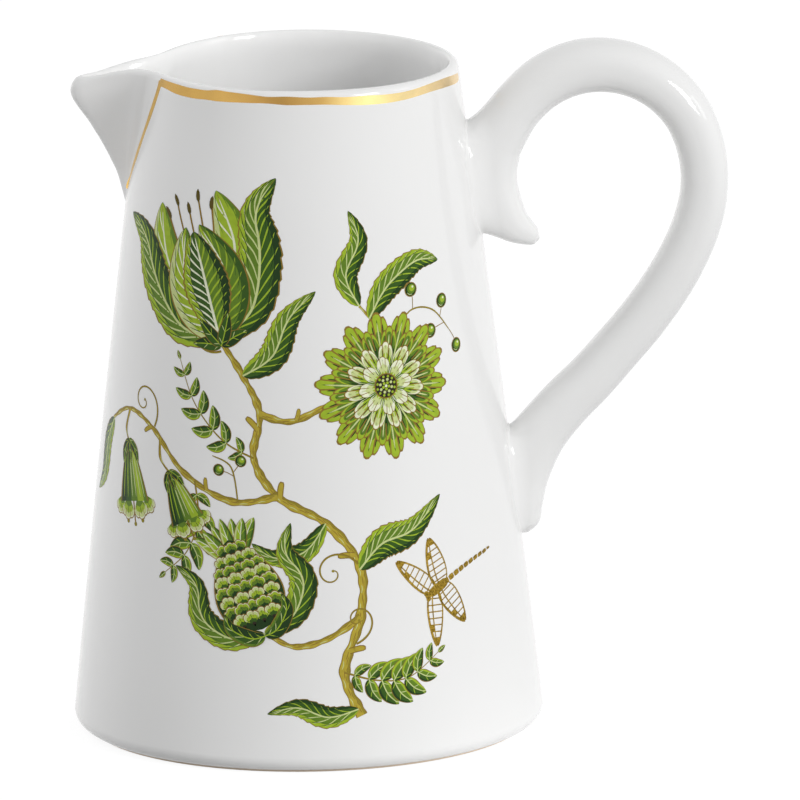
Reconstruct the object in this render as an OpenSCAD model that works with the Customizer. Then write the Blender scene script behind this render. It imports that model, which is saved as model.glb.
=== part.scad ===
// Tapered glazed pitcher: a jolleyed body with a foot ring, a V-shaped pouring lip let into the
// rim, a scrolled handle luted on at two places, and painted gilding.
// The body's axis is Z, the table is z = 0, the lip points along -X and the handle along +X.

/* [Body] */
// Outer diameter of the side wall, carried down to the table
base_d = 140; // [130:1:150]
// Outer diameter of the side wall at the rim
rim_d = 93.4; // [88:0.2:99]
// Height of the rim above the table
body_h = 199.4; // [190:0.2:208]
// How far the side wall swells out from a straight cone at half height
swell = 0.65; // [0:0.05:1.5]
// Wall thickness at the rim
rim_wall = 3.7; // [3:0.1:4.4]
// Wall thickness just above the floor
base_wall = 4.2; // [3.4:0.1:6]
// Thickness of the floor
floor_t = 5; // [4:0.25:7]
// Radius of the rounded heel outside
heel_r = 4; // [3:0.25:8]
// Radius of the corner between the wall and the floor inside
floor_corner_r = 9; // [5:0.5:14]

/* [Foot ring] */
// Width of the unglazed ring that the pitcher stands on
foot_w = 6.5; // [4:0.25:9]
// Depth of the recess inside the ring
foot_h = 2.2; // [1.4:0.1:3]
// Height of the ring that shows below the glazed heel
foot_reveal = 0.7; // [0.4:0.05:1.2]

/* [Pouring lip] */
// Half width of the V that the lip fills, at the rim
lip_half_w = 19.5; // [17:0.5:22]
// Half width of the V at its foot
lip_foot_w = 1.5; // [1:0.1:3]
// Depth of the V below the rim
lip_depth = 41.4; // [37:0.2:46]
// How far the nose stands out from the wall
lip_reach = 20; // [16:0.2:23]
// Thickness of the lip's nose, measured level
nose_t = 4.8; // [4.2:0.1:6]
// How far the top of the nose lies below the rim
nose_drop = 3.4; // [2:0.1:4.5]
// How far the outer edge of the nose rolls down from its top
nose_roll = 4.2; // [3:0.1:5]

/* [Handle] */
// How far the handle stands out from the wall
handle_reach = 75.1; // [68:0.1:80]
// Height of the handle, lower tip to top of the loop, as a share of the rim's height
handle_h_share = 0.7533; // [0.71:0.005:0.78]
// Height of the handle's lower tip, as a share of the rim's height
handle_z_share = 0.2778; // [0.25:0.005:0.30]
// Thickness of the strap, seen from the side
strap_t = 14.4; // [12.5:0.1:16]
// Width of the strap, seen from the back
strap_w = 18; // [15:0.25:21]
// Radius of the wiped clay round the upper joint
upper_luting_r = 4; // [2.5:0.1:5]
// Radius of the wiped clay round the lower joint
lower_luting_r = 2.2; // [1.5:0.1:3.5]

/* [Gilding] */
// Width of the band below the rim
band_w = 2.8; // [1.5:0.1:4]
// Bare glaze between the two bands above the handle, measured along the rim
band_gap = 13; // [8:0.5:20]
// Width of the line beside the lip, at its foot
line_foot_w = 1.2; // [0.8:0.05:2]
// Width of the line beside the lip, at the rim
line_rim_w = 2.2; // [1.4:0.05:3]
// Thickness of the fired gold
gilding_t = 0.15; // [0.1:0.01:0.25]

/* [Hidden] */

$fn = 72;
// Sides of the circle that the handle and its lutings are seated on, finer than the rest
seat_fn = 240;
// What a cutter runs past the faces that it cuts
overrun = 2;

// Glaze, biscuit and gold as the eye sees them
glaze_colour = [0.95, 0.95, 0.94];
biscuit_colour = [0.86, 0.75, 0.63];
gold_colour = [0.80, 0.62, 0.27];

base_r = base_d / 2;
rim_r = rim_d / 2;

// Rows in the wall and in each small arc
wall_rows = 6;
arc_rows = 6;

// Outer radius of the side wall at height z
function wall_r(z) = let (t = min(z, body_h) / body_h)
    base_r + (rim_r - base_r) * t + 4 * swell * t * (1 - t);
// Wall thickness at height z
function wall_t(z) = mix(base_wall, rim_wall, min(z, body_h) / body_h);
// Lean of the side wall from the vertical, in degrees
function wall_lean(z) = atan((base_r - rim_r - 4 * swell * (1 - 2 * z / body_h)) / body_h);

function mix(a, b, t) = a + (b - a) * t;
function arc(centre, r, from, to) =
    [for (i = [0:arc_rows]) let (a = mix(from, to, i / arc_rows)) centre + r * [cos(a), sin(a)]];
// The side wall's outside between two heights, without the two ends
function wall_points(from, to) =
    [for (i = [1:wall_rows - 1]) let (z = mix(from, to, i / wall_rows)) [wall_r(z), z]];

// Body

lip_r = rim_wall / 2;
rim_z = body_h - lip_r;
heel_z = foot_reveal + heel_r;
heel_lean = wall_lean(heel_z);
heel_x = wall_r(heel_z) - heel_r * cos(heel_lean);
floor_z = foot_h + floor_t;
corner_z = floor_z + floor_corner_r;
corner_lean = wall_lean(corner_z);
corner_x = wall_r(corner_z) - wall_t(corner_z) - floor_corner_r * cos(corner_lean);

// Half section of the body, from the foot up the outside, over the rim and down to the floor
body_section = concat(
    [[0, foot_h], [heel_x, foot_h], [heel_x, foot_reveal]],
    arc([heel_x, heel_z], heel_r, -90, heel_lean),
    wall_points(heel_z + heel_r * sin(heel_lean), rim_z),
    [for (i = [0:arc_rows]) let (a = 180 * i / arc_rows, z = rim_z + lip_r * sin(a))
        [wall_r(z) - wall_t(z) * (1 - cos(a)) / 2, z]],
    [for (i = [1:wall_rows - 1]) let (z = mix(rim_z, corner_z, i / wall_rows))
        [wall_r(z) - wall_t(z), z]],
    arc([corner_x, corner_z], floor_corner_r, corner_lean, -90),
    [[0, floor_z]]
);

// The V in the rim that the lip fills: its foot, and its half width at height z
apex_z = body_h - lip_depth;
function notch_w(z) = mix(lip_foot_w, lip_half_w, (z - apex_z) / lip_depth);

module notch(margin_foot = 0, margin_rim = 0) {
    top_z = body_h + overrun;
    foot = lip_foot_w + margin_foot;
    top = notch_w(top_z) + margin_rim;
    rotate([90, 0, -90])
        linear_extrude(base_r)
            polygon([[-foot, apex_z], [foot, apex_z], [top, top_z], [-top, top_z]]);
}

module body() {
    color(glaze_colour)
        difference() {
            rotate_extrude() polygon(body_section);
            notch();
        }
}

module foot_ring() {
    edge = foot_reveal / 2;
    inner_r = heel_x - foot_w;
    color(biscuit_colour)
        rotate_extrude()
            polygon([[inner_r, foot_h], [inner_r, edge], [inner_r + edge, 0],
                [heel_x - edge, 0], [heel_x, edge], [heel_x, foot_h]]);
}

// Pouring lip

// Plan of the lip from the seam to the nose: share of the reach, share of the V's half width.
// The lip is lofted from the plan at its foot to the plan at the rim.
outer_rim_shares = [[0, 1], [-0.035, 0.93], [-0.07, 0.85], [-0.10, 0.77], [-0.11, 0.69], [-0.085, 0.61],
    [-0.01, 0.53], [0.10, 0.446], [0.245, 0.361], [0.50, 0.243], [0.75, 0.175], [0.87, 0.152],
    [0.96, 0.10], [1, 0]];
outer_foot_shares = [[0, 1], [0, 0.95], [0.01, 0.90], [0.03, 0.84], [0.07, 0.77], [0.13, 0.70],
    [0.21, 0.62], [0.31, 0.54], [0.44, 0.46], [0.58, 0.37], [0.72, 0.28], [0.85, 0.19],
    [0.96, 0.10], [1, 0]];
inner_rim_shares = [[0, 1], [-0.035, 0.91], [-0.07, 0.82], [-0.10, 0.73], [-0.11, 0.64], [-0.095, 0.555],
    [-0.03, 0.465], [0.05, 0.378], [0.15, 0.305], [0.35, 0.197], [0.58, 0.118], [0.78, 0.062],
    [0.93, 0.022], [1, 0]];
// Height of the lip's top edge: share of the reach, and share of the nose's drop
drop_shares = [[-0.2, 0], [0.1, 0], [0.245, 0.06], [0.5, 0.36], [0.75, 0.74], [1, 1]];
// Outline of the keel seen from the side: share of its height, and share of the reach
keel_shares = [[0, 0.005], [0.07, 0.045], [0.145, 0.092], [0.215, 0.137], [0.285, 0.19], [0.36, 0.265],
    [0.43, 0.335], [0.50, 0.41], [0.575, 0.495], [0.645, 0.58], [0.72, 0.672], [0.79, 0.77],
    [0.86, 0.87], [0.93, 0.955], [0.97, 0.985], [1, 1]];

lip_columns = len(outer_rim_shares) - 1;
lip_rows = 18;
// An odd count leaves the caps at both seams without a lone point
lip_arc_rows = 7;

keel_h = body_h - nose_drop - nose_roll - apex_z;
function reach(z) = lip_reach * lookup((z - apex_z) / keel_h, keel_shares);

// Point of column k at height z: side is -1 or 1, and depth goes from 0 outside to 1 inside
function lip_point(k, side, z, depth) = let (
        loft = min((z - apex_z) / lip_depth, 1),
        outer = mix(outer_foot_shares[k], outer_rim_shares[k], loft),
        inner = mix(outer_foot_shares[k], inner_rim_shares[k], loft),
        hollow = max(0, reach(z) - nose_t + wall_t(z)),
        out = mix(reach(z) * outer[0], hollow * inner[0], depth),
        w = notch_w(z) * mix(outer[1], inner[1], depth),
        r = wall_r(z) - wall_t(z) * depth)
    [-sqrt(r * r - w * w) - out, side * w, z];

function crest_z(k) = body_h - nose_drop * lookup(outer_rim_shares[k][0], drop_shares);
function outer_edge_z(k) = crest_z(k) - mix(lip_r, nose_roll, pow(max(0, outer_rim_shares[k][0]), 3));
function inner_edge_z(k) = crest_z(k) - lip_r;

// One column of the lip: up the outside, over the edge, and down the inside
function lip_column(k, side) = concat(
    [for (i = [0:lip_rows]) lip_point(k, side, mix(apex_z, outer_edge_z(k), i / lip_rows), 0)],
    [for (i = [1:lip_arc_rows - 1]) let (
            a = 180 * i / lip_arc_rows,
            edge_z = a < 90 ? outer_edge_z(k) : inner_edge_z(k))
        lip_point(k, side, mix(edge_z, crest_z(k), sin(a)), (1 - cos(a)) / 2)],
    [for (i = [lip_rows:-1:0]) lip_point(k, side, mix(apex_z, inner_edge_z(k), i / lip_rows), 1)]
);

// Faces between neighbouring rings of equal size
function skin_faces(rings, size) = [for (i = [0:rings - 2], j = [0:size - 1])
    let (a = i * size + j, b = i * size + (j + 1) % size)
        each [[a, b, b + size], [a, b + size, a + size]]];

module pouring_lip() {
    columns = concat(
        [for (k = [0:lip_columns]) lip_column(k, 1)],
        [for (k = [lip_columns - 1:-1:0]) lip_column(k, -1)]
    );
    size = len(columns[0]);
    last = (len(columns) - 1) * size;
    caps = [for (j = [0:size / 2 - 2]) let (m = size - 1 - j) each [
        [j, m - 1, j + 1], [j, m, m - 1],
        [last + j, last + j + 1, last + m - 1], [last + j, last + m - 1, last + m]]];
    color(glaze_colour)
        polyhedron([for (c = columns) each c], concat(skin_faces(len(columns), size), caps));
}

// Handle

// Middle of the strap from the tail, up round the loop and down to the lower tip: share of the
// reach out from the wall, share of the height, share of the thickness, share of the width
strap_shares = [
    [0.2450, 0.5965, 0.10, 0.10], [0.2360, 0.5980, 0.25, 0.24], [0.2120, 0.6030, 0.42, 0.42],
    [0.1400, 0.6260, 0.76, 0.72], [0.0900, 0.6570, 1.02, 0.88], [0.0650, 0.6910, 1.12, 0.95],
    [0.0640, 0.7290, 1.16, 0.98], [0.0840, 0.7670, 1.18, 1.00], [0.1240, 0.8030, 1.15, 1.00],
    [0.2360, 0.8660, 1.06, 1.00], [0.3780, 0.9165, 1.08, 1.00], [0.5440, 0.9425, 1.10, 1.00],
    [0.7130, 0.9380, 1.08, 1.00], [0.8560, 0.9050, 1.04, 1.00], [0.9560, 0.8490, 1.01, 1.00],
    [0.9990, 0.7770, 0.99, 1.00], [0.9920, 0.7010, 0.98, 1.00], [0.9400, 0.6270, 0.99, 1.00],
    [0.8550, 0.5560, 1.00, 1.00], [0.7530, 0.4910, 1.01, 1.00], [0.6350, 0.4280, 1.01, 1.00],
    [0.5100, 0.3700, 1.01, 1.00], [0.3850, 0.3140, 1.03, 1.00], [0.2520, 0.2600, 1.06, 0.98],
    [0.1310, 0.2010, 1.10, 0.93], [0.0440, 0.1310, 1.08, 0.86], [0.0160, 0.0700, 0.90, 0.76],
    [0.0150, 0.0340, 0.73, 0.62], [0.0190, 0.0130, 0.54, 0.44], [0.0220, 0.0030, 0.27, 0.22]];
steps_between_shares = 3;
strap_sides = 24;
// How square the strap's section is: 2 would be an oval
strap_power = 2.3;

handle_h = handle_h_share * body_h;
handle_z = handle_z_share * body_h;
strap_reach = handle_reach - strap_t / 2;
strap_stations = (len(strap_shares) - 1) * steps_between_shares;

// Smooth curve through a table's rows, at row number u
function along(table, u) = let (
        last = len(table) - 1,
        k = min(floor(u), last - 1),
        t = u - k,
        a = table[max(k - 1, 0)],
        b = table[k],
        c = table[k + 1],
        d = table[min(k + 2, last)])
    (2 * b + (c - a) * t + (2 * a - 5 * b + 4 * c - d) * t * t + (3 * b - a - 3 * c + d) * t * t * t) / 2;

function strap_row(i) = along(strap_shares, i / steps_between_shares);
function strap_middle(i) = let (row = strap_row(i), z = handle_z + handle_h * row[1])
    [wall_r(z) + strap_reach * row[0], 0, z];

// Section of the strap across its run
function strap_ring(i) = let (
        from = strap_middle(max(i - 1, 0)),
        to = strap_middle(min(i + 1, strap_stations)),
        run = (to - from) / norm(to - from),
        across = [-run.z, 0, run.x],
        row = strap_row(i))
    [for (j = [0:strap_sides - 1]) let (
            a = 360 * j / strap_sides,
            full = pow(pow(abs(cos(a)), strap_power) + pow(abs(sin(a)), strap_power), -1 / strap_power))
        strap_middle(i) + full * (across * cos(a) * row[2] * strap_t / 2
            + [0, sin(a) * row[3] * strap_w / 2, 0])];

module strap() {
    rings = [for (i = [0:strap_stations]) strap_ring(i)];
    start = len(rings) * strap_sides;
    last = start - strap_sides;
    ends = [for (j = [0:strap_sides - 1]) let (next = (j + 1) % strap_sides) each [
        [start, next, j], [start + 1, last + j, last + next]]];
    polyhedron(
        concat([for (r = rings) each r], [strap_middle(0), strap_middle(strap_stations)]),
        concat(skin_faces(len(rings), strap_sides), ends));
}

// Everything inside the side wall's outer face
module wall_fill() {
    rotate_extrude($fn = seat_fn)
        polygon(concat([[0, 0], [wall_r(0), 0]], wall_points(0, body_h),
            [[wall_r(body_h), body_h], [0, body_h]]));
}

module handle() {
    color(glaze_colour)
        difference() {
            strap();
            wall_fill();
        }
}

// Where the strap meets the wall: shares of the handle's height, bottom and top, and shares of
// the strap's width at the bottom and at the top
upper_seat_shares = [[0.628, 0.832], [0.84, 0.88]];
lower_seat_shares = [[0.012, 0.221], [0.62, 0.92]];

// How square the strap's footprint is: 2 would be an oval
seat_power = 2.8;

luting_columns = 48;
luting_steps = 5;

// Share of the half size that the footprint reaches at angle a, and its outward direction there
function squared(c) = sign(c) * pow(abs(c), 2 / seat_power);
function squared_away(c, half) = sign(c) * pow(abs(c), 2 - 2 / seat_power) / half;

// Wiped clay round a joint: a hollow fillet of radius r that follows the strap's footprint
module luting(seat_shares, r) {
    low_z = handle_z + handle_h * seat_shares[0][0];
    high_z = handle_z + handle_h * seat_shares[0][1];
    rings = [for (i = [0:luting_columns - 1]) let (
            a = 360 * i / luting_columns,
            half_w = strap_w / 2 * mix(seat_shares[1][0], seat_shares[1][1], (1 + sin(a)) / 2),
            half_h = (high_z - low_z) / 2,
            y = half_w * squared(cos(a)),
            z = low_z + half_h * (1 + squared(sin(a))),
            straight = [squared_away(cos(a), half_w), squared_away(sin(a), half_h)],
            away = straight / norm(straight))
        [for (p = concat([[r, -r / 2], [-r / 2, -r / 2], [-r / 2, r]],
                [for (s = [0:luting_steps]) let (t = 90 * s / luting_steps) r * [1 - cos(t), 1 - sin(t)]]))
            let (py = y + away[0] * p[0], pz = z + away[1] * p[0])
                [sqrt(pow(wall_r(pz), 2) - py * py) + p[1], py, pz]]];
    size = len(rings[0]);
    color(glaze_colour)
        difference() {
            polyhedron([for (ring = rings) each ring],
                [for (i = [0:luting_columns - 1], j = [0:size - 1]) let (
                        next = (i + 1) % luting_columns,
                        a = i * size + j,
                        b = i * size + (j + 1) % size,
                        c = next * size + (j + 1) % size,
                        d = next * size + j)
                    each [[a, c, b], [a, d, c]]]);
            strap();
            wall_fill();
        }
}

module upper_luting() {
    luting(upper_seat_shares, upper_luting_r);
}

module lower_luting() {
    luting(lower_seat_shares, lower_luting_r);
}

// Gilding

// A skin of gold on the wall between two heights, from angle start through the angle turn
module gold_skin(low_z, high_z, start, turn, rows) {
    heights = [for (i = [0:rows]) mix(low_z, high_z, i / rows)];
    rotate([0, 0, start])
        rotate_extrude(angle = turn)
            polygon(concat(
                [for (z = heights) [wall_r(z) + gilding_t, z]],
                [for (i = [rows:-1:0]) [wall_r(heights[i]), heights[i]]]));
}

// Half the angle that the bare glaze above the handle takes
bare_angle = band_gap / 2 / rim_r * 180 / PI;

module rim_band_front() {
    color(gold_colour)
        difference() {
            gold_skin(rim_z - band_w, rim_z, 180, 180 - bare_angle, 1);
            notch();
        }
}

module rim_band_back() {
    color(gold_colour)
        mirror([0, 1, 0])
            difference() {
                gold_skin(rim_z - band_w, rim_z, 180, 180 - bare_angle, 1);
                notch();
            }
}

module lip_line() {
    difference() {
        intersection() {
            gold_skin(apex_z, rim_z - band_w, 180, 90, 6);
            notch(line_foot_w, line_rim_w);
        }
        notch();
    }
}

module lip_line_front() {
    color(gold_colour) lip_line();
}

module lip_line_back() {
    color(gold_colour) mirror([0, 1, 0]) lip_line();
}

body();
foot_ring();
pouring_lip();
handle();
upper_luting();
lower_luting();
rim_band_front();
rim_band_back();
lip_line_front();
lip_line_back();
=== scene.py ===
import bpy
import math
from functools import partial
import numpy as np
from mathutils import Matrix, Vector


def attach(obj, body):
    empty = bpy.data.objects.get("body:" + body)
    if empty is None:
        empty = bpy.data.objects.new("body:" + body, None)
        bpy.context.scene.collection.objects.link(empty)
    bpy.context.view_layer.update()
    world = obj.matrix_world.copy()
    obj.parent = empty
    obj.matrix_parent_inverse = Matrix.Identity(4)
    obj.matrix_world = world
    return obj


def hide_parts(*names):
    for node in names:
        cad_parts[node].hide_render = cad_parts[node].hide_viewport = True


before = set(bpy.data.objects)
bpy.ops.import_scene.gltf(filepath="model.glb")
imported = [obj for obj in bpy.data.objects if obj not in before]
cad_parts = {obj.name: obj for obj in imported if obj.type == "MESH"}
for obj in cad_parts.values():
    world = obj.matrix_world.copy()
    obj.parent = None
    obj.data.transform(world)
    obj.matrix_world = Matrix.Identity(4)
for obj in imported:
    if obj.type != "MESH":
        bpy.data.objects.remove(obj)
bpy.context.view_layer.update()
mm = 0.001
chain = np.concatenate


# Small tools


def smooth(t):
    # 3 t^2 - 2 t^3, level at 0 and at 1
    t = np.clip(t, 0, 1)
    return t * t * (3 - 2 * t)


def mix(a, b, t):
    return a + (b - a) * t


def unit(v):
    return v / np.maximum(np.linalg.norm(v, axis=-1, keepdims=True), 1e-9)


def stack(*parts):
    # Points from their x, y and z, each an array or a number
    return np.stack(np.broadcast_arrays(*parts), -1)


def polar(r, angle, z):
    # Point at a radius and height, at an angle from the lip round by the front
    return stack(-r * np.cos(angle), -r * np.sin(angle), z)


def revolved(section, angle):
    # A section of radius and height turned to each angle from the handle side
    return stack(section[:, :1] * np.cos(angle), section[:, :1] * np.sin(angle), section[:, 1:])


def bow(x, z, r, turn):
    # Part of a circle in a section
    return stack(x + r * np.cos(turn), z + r * np.sin(turn))


def spline(table, n=None, at=None):
    # Catmull-Rom through the table's rows, at n even steps or at the row numbers given
    p = np.asarray(table, float)
    u = np.linspace(0, len(p) - 1, n) if at is None else np.clip(at, 0, len(p) - 1)
    k = np.minimum(u.astype(int), len(p) - 2)
    t = (u - k)[:, None]
    a, b, c, d = p[np.maximum(k - 1, 0)], p[k], p[k + 1], p[np.minimum(k + 2, len(p) - 1)]
    return (2 * b + (c - a) * t + (2 * a - 5 * b + 4 * c - d) * t ** 2 + (3 * b - a - 3 * c + d) * t ** 3) / 2


def curveAt(table, x):
    # Height of a smooth curve through [x, y] rows
    fine = spline(table, 400)
    return np.interp(x, fine[:, 0], fine[:, 1])


def gridFaces(rows, cols, closed=False):
    # Quads between neighbours of a grid of rows x cols points
    i, j = np.meshgrid(np.arange(rows - 1), np.arange(cols if closed else cols - 1), indexing="ij")
    a = i * cols + j
    b = i * cols + (j + 1) % cols
    return stack(a, b, b + cols, a + cols).reshape(-1, 4)


def capFaces(first, count, tip):
    # Triangles from each two neighbours of a closed ring of points to a tip
    ring = np.arange(count)
    return stack(first + ring, first + (ring + 1) % count, tip)


def gridNormals(p, closed=False):
    # Cross product of the two differences of a grid, wrapped round its columns if it is closed
    across = np.roll(p, -1, 1) - np.roll(p, 1, 1) if closed else np.gradient(p, axis=1)
    return unit(np.cross(across, np.gradient(p, axis=0)))


def addPiece(name, points, quads, normals, material, triangles=(), inside=None, node=None, slot=None):
    # A mesh from points in millimetres; inside runs from 0 on the outside to 1 on the inside of the wall
    loops = chain([np.asarray(part, np.int32).ravel() for part in (quads, triangles)])
    sizes = np.repeat(np.array([4, 3], np.int32), [len(quads), len(triangles)])
    used, loops = np.unique(loops, return_inverse=True)
    points = np.asarray(points, float).reshape(-1, 3)[used]
    mesh = bpy.data.meshes.new(name)
    mesh.vertices.add(len(points))
    mesh.vertices.foreach_set("co", (points * mm).astype(np.float32).ravel())
    mesh.loops.add(len(loops))
    mesh.loops.foreach_set("vertex_index", loops.astype(np.int32))
    mesh.polygons.add(len(sizes))
    mesh.polygons.foreach_set("loop_start", (np.cumsum(sizes) - sizes).astype(np.int32))
    mesh.polygons.foreach_set("loop_total", sizes)
    mesh.polygons.foreach_set("use_smooth", np.ones(len(sizes), bool))
    mesh.update(calc_edges=True)
    mesh.validate()
    if normals is not None:
        mesh.normals_split_custom_set_from_vertices(np.asarray(normals, float).reshape(-1, 3)[used].tolist())
    if inside is not None:
        mesh.attributes.new("inside", "FLOAT", "POINT").data.foreach_set("value", inside[used].astype(np.float32))
    mesh.materials.append(material)
    piece = bpy.data.objects.new(name, mesh)
    bpy.context.scene.collection.objects.link(piece)
    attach(piece, "root")
    if node:
        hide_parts(node)
    return piece


# Materials


def feed(node, inputs):
    # Gives each input a constant, or links it to another node's output
    for key, value in inputs.items():
        if isinstance(value, bpy.types.NodeSocket):
            node.id_data.links.new(value, node.inputs[key])
        else:
            node.inputs[key].default_value = value


def add(tree, kind, inputs, output=0, **settings):
    # A new node, set up and fed; what it gives is one of its outputs
    node = tree.nodes.new("ShaderNode" + kind)
    for key, value in settings.items():
        setattr(node, key, value)
    feed(node, inputs)
    return node.outputs[output]


def calculate(tree, operation, a, b):
    return add(tree, "Math", {0: a, 1: b}, operation=operation)


def blend(tree, a, b, factor):
    return add(tree, "Mix", {"A": a, "B": b, "Factor": factor}, "Result", data_type="RGBA")


def remap(tree, value, fromMin, fromMax, toMin=0.0, toMax=1.0, shape="LINEAR"):
    return add(tree, "MapRange", {"Value": value, "From Min": fromMin, "From Max": fromMax,
                                  "To Min": toMin, "To Max": toMax}, "Result", interpolation_type=shape)


def noise(tree, scale, detail):
    # Noise fixed to the object
    coords = add(tree, "TexCoord", {}, "Object")
    return add(tree, "TexNoise", {"Vector": coords, "Scale": scale, "Detail": detail}, "Fac")


def newMaterial(name, **values):
    material = bpy.data.materials.new(name)
    material.use_nodes = True
    shader = material.node_tree.nodes["Principled BSDF"]
    feed(shader, {key.replace("_", " "): value for key, value in values.items()})
    return material, material.node_tree, shader


# Glaze: clear gloss over a white body, a little wavy, and painted lighter on the inside of the wall, as painted
# light for the interior
glaze, tree, shader = newMaterial("glaze", Roughness=0.07, IOR=1.52)
within = add(tree, "Attribute", {}, "Fac", attribute_name="inside")
wave = add(tree, "Bump", {"Strength": 0.05, "Distance": 0.004, "Height": noise(tree, 26, 1)}, "Normal")
feed(shader, {"Base Color": blend(tree, (0.91, 0.91, 0.905, 1), (0.985, 0.985, 0.98, 1), within), "Normal": wave})

# Biscuit: bare fired clay, dry and grainy
biscuit, tree, shader = newMaterial("biscuit", Roughness=0.85)
feed(shader, {"Base Color": blend(tree, (0.8, 0.64, 0.49, 1), (0.9, 0.77, 0.62, 1), noise(tree, 900, 3))})

# Burnished gold, laid on with a brush, so that its colour varies a little at random along the stroke. Its colour
# also follows the object's x as painted light: a painted highlight on the lip's lines, a pale painted reflection
# toward the handle, and painted shade just left of the middle.
gilding, tree, shader = newMaterial("gilding", Metallic=1.0, Roughness=0.27)
goldPaintedLightRows = [[0.02, 0.9, 0.57, 0.14], [0.065, 0.84, 0.53, 0.13], [0.1, 0.6, 0.37, 0.105],
            [0.28, 0.61, 0.38, 0.11], [0.38, 0.48, 0.28, 0.08], [0.46, 0.48, 0.28, 0.08],
            [0.57, 0.62, 0.39, 0.12], [0.66, 0.82, 0.64, 0.27], [0.76, 0.9, 0.72, 0.33],
            [0.92, 0.98, 0.74, 0.4]]
# Painted light: a ramp of colours along the object's x, bright on the lip's lines and near the handle, shaded left
# of the middle
sideways = add(tree, "SeparateXYZ", {"Vector": add(tree, "TexCoord", {}, "Object")}, "X")
paintedLightTone = add(tree, "ValToRGB", {"Fac": remap(tree, sideways, -0.05, 0.05)}, "Color")
stops = paintedLightTone.node.color_ramp.elements
for row in goldPaintedLightRows[1:-1]:
    stops.new(row[0])
for stop, row in zip(stops, goldPaintedLightRows):
    stop.position, stop.color = row[0], (*row[1:], 1)
thickness = remap(tree, noise(tree, 60, 4), 0.3, 0.7, 0.82, 1.12)
feed(shader, {"Base Color": add(tree, "HueSaturation", {"Value": thickness, "Color": paintedLightTone}, "Color")})

# Printed gold: the same metal ground into the ink, dull and brownish
dullGold, tree, shader = newMaterial("dull_gold", Metallic=1.0, Roughness=0.5)
speck = remap(tree, noise(tree, 2000, 2), 0.38, 0.62)
feed(shader, {"Base Color": blend(tree, (0.15, 0.092, 0.01, 1), (0.37, 0.25, 0.038, 1), speck)})

# Ink: each face carries its ink as a colour, which the glaze over it mottles a little
inkPaint, tree, shader = newMaterial("ink", Roughness=0.12, IOR=1.5, Specular_IOR_Level=0.15)
mottle = remap(tree, noise(tree, 700, 2), 0, 1, 0.82, 1.18)
colour = add(tree, "VertexColor", {}, "Color", layer_name="ink")
feed(shader, {"Base Color": add(tree, "HueSaturation", {"Value": mottle, "Color": colour}, "Color")})
print("materials made")


# The wall and the lip, in millimetres

wall = dict(baseR=70.0, rimR=46.7, height=199.4, swell=0.65, baseThick=4.2, rimThick=3.7,
            heelR=4.0, floorT=5.0, cornerR=9.0, footW=6.5, footH=2.2, footReveal=0.7, innerRoll=6.0)
lip = dict(halfW=19.5, footW=1.5, depth=41.4, reach=20.0, noseT=4.8, noseDrop=3.4, noseRoll=4.2)
# Pulling the lip drew the rim in beside it and lifted it a little further round
drawn = dict(most=2.2, lift=0.4, liftFrom=165)

lipR = wall["rimThick"] / 2
rimZ = wall["height"] - lipR
apexZ = wall["height"] - lip["depth"]
keelH = wall["height"] - lip["noseDrop"] - lip["noseRoll"] - apexZ
# The lip's keel: share of its height, share of the reach
keelRows = [[0, 0.005], [0.07, 0.045], [0.145, 0.092], [0.215, 0.137], [0.285, 0.19], [0.36, 0.265],
            [0.43, 0.335], [0.5, 0.41], [0.575, 0.495], [0.645, 0.58], [0.72, 0.672], [0.79, 0.77],
            [0.86, 0.87], [0.93, 0.955], [0.97, 0.985], [1, 1]]
# Degrees from the lip, share of the most the rim is drawn in or lifted
pinchRows = [[0, 1], [45, 1], [60, 0.72], [75, 0.59], [92, 0.59], [112, 0.45], [132, 0.23], [152, 0.05], [180, 0]]
liftRows = [[0, 0], [25, 0.2], [45, 0.6], [75, 1], [100, 1], [130, 0.3], [160, 0], [180, 0]]
# Plan of the lip from the seam to the nose: share of the reach, share of the V's half width.
# Up to the fold the wall only runs straight on, and from there it flares out to the nose.
foldBack = 0.11
outerRim = [[-foldBack, 1], [-foldBack, 0.93], [-0.106, 0.85], [-0.094, 0.77], [-0.07, 0.69], [-0.03, 0.61],
            [0.03, 0.53], [0.115, 0.446], [0.245, 0.361], [0.5, 0.243], [0.75, 0.175], [0.87, 0.152],
            [0.96, 0.1], [1, 0]]
outerFoot = [[0, 1], [0, 0.95], [0.01, 0.9], [0.03, 0.84], [0.07, 0.77], [0.13, 0.7], [0.21, 0.62],
             [0.31, 0.54], [0.44, 0.46], [0.58, 0.37], [0.72, 0.28], [0.85, 0.19], [0.96, 0.1], [1, 0]]
innerRim = [[0, 1], [0, 0.91], [0, 0.82], [0.001, 0.73], [0.006, 0.64], [0.02, 0.555], [0.046, 0.465],
            [0.09, 0.378], [0.16, 0.305], [0.35, 0.197], [0.58, 0.118], [0.78, 0.062], [0.93, 0.022], [1, 0]]
# Share of the reach, share of the nose's drop
dropRows = [[-0.2, 0], [0.1, 0], [0.245, 0.06], [0.5, 0.36], [0.75, 0.74], [1, 1]]
lipSide, wallColumns, upRows, arcRows = 44, 240, 46, 18
heelRows, lowRows, innerRows, floorRows = 12, 56, 44, 14


def wallRadius(z):
    # Straight from base to rim, plus a swell that is widest halfway up
    t = np.minimum(z, wall["height"]) / wall["height"]
    return mix(wall["baseR"], wall["rimR"], t) + 4 * wall["swell"] * t * (1 - t)


def wallThick(z):
    return mix(wall["baseThick"], wall["rimThick"], np.minimum(z, wall["height"]) / wall["height"])


def reach(z):
    h = (z - apexZ) / keelH
    return lip["reach"] * np.where(h > 0, curveAt(keelRows, h), 0)


def drawnIn(z):
    return drawn["most"] * smooth((z - apexZ) / (rimZ - apexZ))


def pinch(angle, z):
    return drawnIn(z) * curveAt(pinchRows, np.degrees(np.abs(angle)))


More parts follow.
